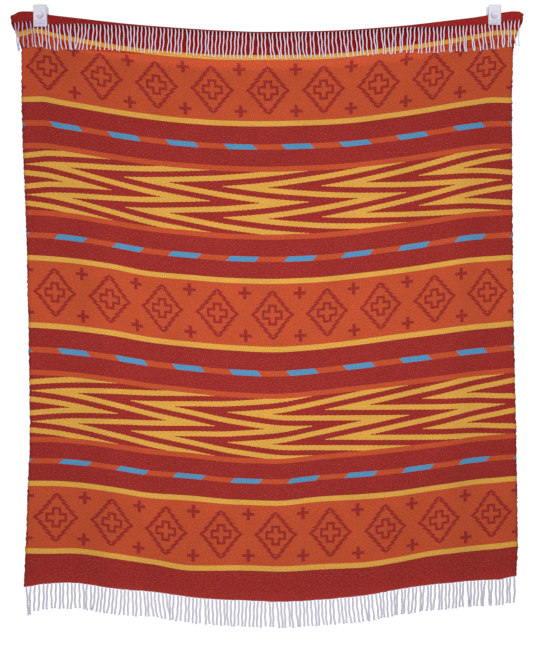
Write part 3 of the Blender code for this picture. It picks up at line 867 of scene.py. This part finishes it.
def yarn_material(end):
    """Pale wool yarn: painted shade in its twist's grooves, fine slanting fibres, pale patches
    that are partly painted highlights. The bottom cords are painted greyer as shade, and the upper
    left corner's cords darker violet as shade, with blue threads among them."""
    made, shader, shade = new_material(
        f"twisted_yarn_{end}", 0.85, Sheen_Weight=0.15, Sheen_Roughness=0.5,
        Specular_IOR_Level=0.2)
    uv = shade.node("ShaderNodeUVMap", {"uv_map": "yarn"}, {})
    around, along, unused = uv.parts()
    groove = ((around * 2).math("FRACT") - 0.5).math("ABSOLUTE") * 2
    slanting = shade.vector(around * FIBRES[0], along * FIBRES[1] + around * FIBRES[2])
    fibres = shade.grain(slanting, FIBRE_SCALE)
    place = shade.place()
    patch = shade.grain(place, YARN_PATCHES)
    # Painted shade in the grooves of the twist
    depth = groove * GROOVE_GAIN[0] - GROOVE_GAIN[1] + (fibres - 0.5) * 0.5
    colour = (depth.held() * GROOVE_SHARE).paint(YARN[end], YARN_GROOVE_SHADE[end])
    # Paler patches: partly paler yarn, partly painted highlights
    pale = (patch * PALE_GAIN[0] - PALE_GAIN[1]).held()
    colour = pale.paint(colour, YARN_PALE_AND_HIGHLIGHT[end])
    if end == "top":
        # Painted shade on the tangled cords of the upper left corner, with specks of blue thread
        corner = place.parts()[0] < HANG.x - CORNER_SHADED
        colour = (corner * patch * VIOLET_SHARE).paint(colour, CORNER_SHADE_VIOLET)
        specks = both(corner, shade.grain(place, YARN_SPECKS) > SPECK_FROM)
        colour = (specks * BLUE_SHARE).paint(colour, CORNER_BLUE)
    feed(shader, "Base Color", colour)
    feed_bump(shader, fibres, *YARN_BUMP)
    return made


def straight_cord():
    """One cord as a plain rod along Z from 0 to 1, its rings ready to be twisted and hung."""
    bm = bmesh.new()
    bmesh.ops.create_cone(bm, cap_ends=True, segments=CORD_SIDES, radius1=1, radius2=1, depth=1)
    bmesh.ops.translate(bm, vec=(0, 0, 0.5), verts=bm.verts)
    sides = [edge for edge in bm.edges if abs(edge.verts[0].co.z - edge.verts[1].co.z) > 0.5]
    bmesh.ops.subdivide_edges(bm, edges=sides, cuts=CORD_RINGS - 1, use_grid_fill=True)
    return bm


def make_fringe(end, count, thick, path):
    """Twist and hang a copy of the straight cord for every cord of one end."""
    plain = straight_cord()
    rod = bpy.data.meshes.new("rod")
    plain.to_mesh(rod)
    plain.free()
    bm = bmesh.new()
    half = CLOTH_WIDTH / 2 - CORD_INSET
    pitch = 2 * half / count
    uv = bm.loops.layers.uv.new("yarn")
    for number in range(count):
        across = -half + pitch * (number + 0.5)
        length = CORD_LENGTH + CORD_UNEVEN * unrest(number + OWN["length"])
        if number < CORNER_CORDS:
            length += CORNER_LONGER
        turn = math.pi * unrest(number + OWN["turn"])
        first = len(bm.verts)
        bm.from_mesh(rod)
        bm.verts.ensure_lookup_table()
        centres = {}
        spin = {}
        for vert in bm.verts[first:]:
            share = 1 - vert.co.z
            ring = round(share * CORD_RINGS)
            if ring not in centres:
                centres[ring] = HANG + path(across, number, share, length)
            angle = math.atan2(vert.co.y, vert.co.x)
            waist = PLY_WAIST + (1 - PLY_WAIST) * abs(math.cos(angle)) ** PLY_ROUND
            slim = min(1.0, ROOT_SLIM + ROOT_GROWS * share)
            slim *= TIP_WIDE if share > TIP_FROM else 1.0
            radius = thick * waist * slim * math.hypot(vert.co.x, vert.co.y)
            spun = angle + turn + 2 * math.pi * TWISTS * share
            vert.co = centres[ring] + Vector((radius * math.cos(spun), radius * math.sin(spun), 0))
            spin[vert] = (angle / (2 * math.pi) + 0.25, share * length)
        for face in {face for vert in spin for face in vert.link_faces}:
            values = [spin[loop.vert] for loop in face.loops]
            wraps = max(value[0] for value in values) - min(value[0] for value in values) > 0.5
            for loop, (around, along) in zip(face.loops, values):
                loop[uv].uv = (around + 1 if wraps and around < 0.25 else around, along)
    bpy.data.meshes.remove(rod)
    bmesh.ops.recalc_face_normals(bm, faces=bm.faces)
    made = finish_piece(f"cords_{end}", bm, yarn_material(end))
    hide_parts(f"fringe_{end}")
    return made


top_fringe = make_fringe("top", TOP_CORDS, TOP_RADIUS, top_path)
bottom_fringe = make_fringe("bottom", BOTTOM_CORDS, BOTTOM_RADIUS, bottom_path)


# The front jaws. Each is a moulded plate that presses the fold against its back jaw, with a
# round finger dish in its middle and a sunken grip of small studs near its lower end. The
# plastic is thin at the dish and at the grip. Painted shade in lavender and rose lies in the
# dish, on the grip and along the rim, and a row of rose dots crosses the grip.
JAW_HIGH = 63 * MM
FRONT_THICK = 3.5 * MM
CLIP_TILT = {"left": math.radians(-1.0), "right": math.radians(0.8)}
# The two clips differ a little in width and height, as shares of the usual size
CLIP_LOOKS = {"left": (1.06, 1.02), "right": (0.97, 0.94)}
DISH_RADIUS = 11 * MM
DISH_FLOOR = 8.4 * MM
DISH_DEPTH = 1.5 * MM
DISH_DROP = 31 * MM
DISH_ARC = 5                # faces around the rounding of its wall, and around the dish
DISH_STEPS = 48
PLUG_OUT = 2 * MM
GRIP_DROP = 52 * MM
GRIP_SIZE = (31 * MM, 17 * MM)
GRIP_SUNK = 0.7 * MM
STUDS = (7, 4)
STUD_HALF = 1.3 * MM
STUD_HIGH = 0.9 * MM
STUD_TOP = 0.6              # the cut top's share of the foot
# Painted shade colours: lavender, and rose for the crescent, which also colours the row of dots
LAVENDER_SHADE = (0.66, 0.61, 0.78)
ROSE_SHADE_AND_DOTS = (0.50, 0.29, 0.41)
RIM_WIDE = 2.6 * MM
STUD_MARGIN = 4 * MM
# The places of painted shade, from the middle of the dish: the centre of the lit circle that
# cuts the shaded crescent, the top of the shaded grip and half its width, and a row of dots
# with its pitch and half its length
CRESCENT_OFF = (1.6 * MM, 2.2 * MM)
GRIP_TINT_TOP = 13 * MM
GRIP_TINT_HALF = 15.5 * MM
DOTS_DROP = 25.2 * MM
DOTS_HALF = 1.3 * MM
DOTS_PITCH = 5 * MM
DOTS_REACH = 9 * MM
DOT_SHARE = 0.27            # half a dot's share of the pitch
# Where the painted shade ends, in shares of the dish's radius, and how far it wanders with the
# noise
HOLLOW_OUT = 0.93
HOLLOW_WANDERS = (0.2, 6 * MM)
CRESCENT_OUT = 0.96
CRESCENT_IN = 0.84
GRIP_WANDERS = 9 * MM
MARK_CLOUDS = 220.0
MARK_SPECKS = 520.0
SPECKS_OUT = 0.56
CLOUD_SHARE = 0.8
ROSE_SHARE = 0.75


def sink_grip(bm):
    """Press a shallow rectangle into the plate's face."""
    middle = JAW_HIGH / 2 - GRIP_DROP
    half_wide, half_high = GRIP_SIZE[0] / 2, GRIP_SIZE[1] / 2
    cuts = (((half_wide, 0, 0), (1, 0, 0)), ((-half_wide, 0, 0), (1, 0, 0)),
            ((0, 0, middle + half_high), (0, 0, 1)), ((0, 0, middle - half_high), (0, 0, 1)))
    for place, across in cuts:
        bmesh.ops.bisect_plane(bm, geom=bm.verts[:] + bm.edges[:] + bm.faces[:],
                               plane_co=place, plane_no=across)
    bm.normal_update()
    panel = [face for face in bm.faces
             if face.normal.y < -FACING
             and abs(face.calc_center_median().x) < half_wide
             and abs(face.calc_center_median().z - middle) < half_high]
    bmesh.ops.inset_region(bm, faces=panel, thickness=GRIP_SUNK, depth=-GRIP_SUNK)


def dish_cutter():
    """A round plug spun from its profile: a flat floor and a rounded wall."""
    bm = bmesh.new()
    wall = DISH_RADIUS - DISH_FLOOR
    profile = [(0, DISH_DEPTH), (DISH_FLOOR, DISH_DEPTH)]
    for k in range(1, DISH_ARC + 1):
        angle = math.pi / 2 * k / DISH_ARC
        profile.append((DISH_FLOOR + wall * math.sin(angle), DISH_DEPTH * math.cos(angle)))
    profile += [(DISH_RADIUS, -PLUG_OUT), (0, -PLUG_OUT)]
    middle = Vector((0, -FRONT_THICK, JAW_HIGH / 2 - DISH_DROP))
    verts = [bm.verts.new(middle + Vector((radius, depth, 0))) for radius, depth in profile]
    edges = [bm.edges.new(pair) for pair in zip(verts, verts[1:])]
    bmesh.ops.spin(bm, geom=verts + edges, cent=middle, axis=(0, 1, 0), dvec=(0, 0, 0),
                   angle=2 * math.pi, steps=DISH_STEPS, use_merge=True)
    bmesh.ops.remove_doubles(bm, verts=bm.verts, dist=0.001 * MM)
    bmesh.ops.recalc_face_normals(bm, faces=bm.faces)
    return bm


def cut_out(bm, cutter):
    """Cut one closed mesh out of another with a Boolean, and give the result back."""
    pair = []
    for shape in (bm, cutter):
        mesh = bpy.data.meshes.new("blank")
        shape.to_mesh(mesh)
        shape.free()
        pair.append(bpy.data.objects.new("blank", mesh))
        bpy.context.scene.collection.objects.link(pair[-1])
    cut = pair[0].modifiers.new("cut", "BOOLEAN")
    cut.operation = "DIFFERENCE"
    cut.object = pair[1]
    result = bmesh.new()
    result.from_mesh(pair[0].evaluated_get(bpy.context.evaluated_depsgraph_get()).to_mesh())
    for blank in pair:
        mesh = blank.data
        bpy.data.objects.remove(blank)
        bpy.data.meshes.remove(mesh)
    return result


def add_studs(bm):
    """Rows of small pyramids with cut tops."""
    wide, high = (size - STUD_MARGIN for size in GRIP_SIZE)
    turned = Matrix.Rotation(math.pi / 2, 4, "X") @ Matrix.Rotation(math.pi / 4, 4, "Z")
    for column in range(STUDS[0]):
        for line in range(STUDS[1]):
            x = (column / (STUDS[0] - 1) - 0.5) * wide
            z = JAW_HIGH / 2 - GRIP_DROP + (line / (STUDS[1] - 1) - 0.5) * high
            place = Matrix.Translation((x, -FRONT_THICK + GRIP_SUNK - STUD_HIGH / 2, z))
            bmesh.ops.create_cone(
                bm, cap_ends=True, segments=4, radius1=STUD_HALF * math.sqrt(2),
                radius2=STUD_HALF * STUD_TOP, depth=STUD_HIGH, matrix=place @ turned)


def shaded_plastic_material(aside_at, dish_at):
    """The same plastic with painted shade in lavender and rose: in the dish, on the grip and along
    a greyer rim, and a row of rose dots.
    """
    made, shader, shade = new_material("plastic_with_painted_shade", PLASTIC_ROUGH, Specular_IOR_Level=0.3)
    place = shade.place()
    x, unused, z = place.parts()
    aside = x.math("ABSOLUTE") - aside_at
    up = z - dish_at
    cloudy = shade.grain(place, MARK_CLOUDS)
    speckled = shade.grain(place, MARK_SPECKS, 1.0)
    from_dish = shade.vector(aside, up).length()
    hollow = both(from_dish < DISH_RADIUS * HOLLOW_OUT,
                  up < (cloudy - HOLLOW_WANDERS[0]) * HOLLOW_WANDERS[1])
    from_light = shade.vector(aside - CRESCENT_OFF[0], up - CRESCENT_OFF[1]).length()
    crescent = both(from_dish < DISH_RADIUS * CRESCENT_OUT,
                    from_light > DISH_RADIUS * CRESCENT_IN)
    off = aside.math("ABSOLUTE")
    grip_top = up < (cloudy - 0.5) * GRIP_WANDERS - GRIP_TINT_TOP
    grip = both(both(grip_top, off < GRIP_TINT_HALF), speckled < SPECKS_OUT)
    in_row = (up + DOTS_DROP).math("ABSOLUTE") < DOTS_HALF
    from_dot = ((aside / DOTS_PITCH + 0.5).math("FRACT") - 0.5).math("ABSOLUTE")
    in_column = from_dot < DOT_SHARE
    dots = both(both(in_row, in_column), off < DOTS_REACH)
    rim = either(up > JAW_HIGH / 2 - RIM_WIDE, off > JAW_WIDE / 2 - RIM_WIDE / 2)
    # Painted shade: lavender on the dish's lower half, the grip and the rim, and a rose crescent
    # in the dish
    colour = (cloudy * CLOUD_SHARE).paint(PLASTIC, PLASTIC_CLOUDY)
    colour = either(either(hollow, grip), rim).paint(colour, LAVENDER_SHADE)
    colour = (either(crescent, dots) * ROSE_SHARE).paint(colour, ROSE_SHADE_AND_DOTS)
    feed(shader, "Base Color", colour)
    feed_bump(shader, speckled, *PLASTIC_BUMP)
    return made


jaw_middles = {}
for side in CLIP_PLACES:
    low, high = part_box(f"clip_{side}_front")
    jaw_middles[side] = (Vector(low) + Vector(high)) / 2
shaded_plastic = shaded_plastic_material(
    aside_at=sum(abs(middle.x) for middle in jaw_middles.values()) / 2,
    dish_at=sum(middle.z for middle in jaw_middles.values()) / 2 + JAW_HIGH / 2 - DISH_DROP)
for side, middle in jaw_middles.items():
    bm = plate(JAW_WIDE, JAW_HIGH, FRONT_THICK)
    sink_grip(bm)
    bm = cut_out(bm, dish_cutter())
    add_studs(bm)
    wide, high = CLIP_LOOKS[side]
    bmesh.ops.scale(bm, vec=(wide, 1, high), verts=bm.verts)
    bmesh.ops.rotate(bm, cent=(0, 0, 0), verts=bm.verts,
                     matrix=Matrix.Rotation(CLIP_TILT[side], 3, "Y"))
    bmesh.ops.translate(bm, verts=bm.verts, vec=(
        middle.x, middle.y + FRONT_THICK / 2, middle.z - (high - 1) * JAW_HIGH / 2))
    in_order(bm)
    jaw = finish_piece(f"front_jaw_{side}", bm, shaded_plastic, SHARP_ANGLE)
    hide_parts(f"clip_{side}_front")


# The studio: a pale round floor below the hanging cloth, a soft light straight in front, one
# high on the right, a weak one at the left side, and a camera square on to the cloth, where
# the photographer stood.
FLOOR_RADIUS = 0.95
FLOOR_Z = -1.22
FLOOR_GREY = 0.86
SKY_LIGHT = 0.28            # the sky's strength on the pieces
SKY_SEEN = 0.77             # and how much more of it the camera sees
PIXEL = 2.92 * MM           # what one pixel shows of the cloth
IMAGE = (533, 646)
CLIP_TOP_PIXEL = 4.2
MIDDLE_PIXEL = 267.0
CAMERA_AWAY = 5.0
CLOTH_FRONT = 18 * MM
SENSOR_HIGH = 24.0

bm = bmesh.new()
bmesh.ops.create_circle(bm, cap_ends=True, segments=96, radius=FLOOR_RADIUS)
bmesh.ops.translate(bm, vec=(0, 0, FLOOR_Z), verts=bm.verts)
floor_mesh = bpy.data.meshes.new("floor")
bm.to_mesh(floor_mesh)
bm.free()
floor_look, floor_shader, unused = new_material("floor", 0.9)
floor_shader.inputs["Base Color"].default_value = (FLOOR_GREY, FLOOR_GREY, FLOOR_GREY, 1.0)
floor_mesh.materials.append(floor_look)
floor = bpy.data.objects.new("floor", floor_mesh)
bpy.context.scene.collection.objects.link(floor)


def soft_light(name, place, target, size, power, spread=180):
    """A rectangular lamp at a place, turned to its target: metres, watts and degrees."""
    lamp = bpy.data.lights.new(name, "AREA")
    lamp.shape = "RECTANGLE"
    lamp.size, lamp.size_y = size
    lamp.energy = power
    lamp.spread = math.radians(spread)
    made = bpy.data.objects.new(name, lamp)
    bpy.context.scene.collection.objects.link(made)
    made.location = place
    made.rotation_euler = (Vector(target) - Vector(place)).to_track_quat("-Z", "Y").to_euler()


soft_light("front", (-0.15, -1.6, 0.0), (0, 0, 0.0), (0.9, 0.9), 11.8)
soft_light("high", (0.9, -4.2, 3.0), (0.1, 0, -0.2), (1.5, 0.8), 13, spread=55)
soft_light("left_side", (-2.6, -2.4, 0.2), (0, 0, 0), (0.8, 1.8), 5.2)

world = bpy.data.worlds.new("studio")
world.use_nodes = True
sky = Shade(world.node_tree)
seen = sky.node("ShaderNodeLightPath", {}, {})
background = world.node_tree.nodes["Background"]
background.inputs["Color"].default_value = (1.0, 1.0, 1.0, 1.0)
feed(background, "Strength", seen * SKY_SEEN + SKY_LIGHT)
bpy.context.scene.world = world
bpy.context.scene.view_settings.view_transform = "Standard"

lens = bpy.data.cameras.new("camera")
lens.sensor_fit = "VERTICAL"
lens.sensor_height = SENSOR_HIGH
lens.lens = SENSOR_HIGH * (CAMERA_AWAY - CLOTH_FRONT) / (IMAGE[1] * PIXEL)
camera = bpy.data.objects.new("camera", lens)
bpy.context.scene.collection.objects.link(camera)
camera.location = (HANG.x + (IMAGE[0] / 2 - MIDDLE_PIXEL) * PIXEL,
                   HANG.y - CAMERA_AWAY,
                   HANG.z - (IMAGE[1] / 2 - CLIP_TOP_PIXEL) * PIXEL)
camera.rotation_euler = (math.pi / 2, 0, 0)
bpy.context.scene.camera = camera
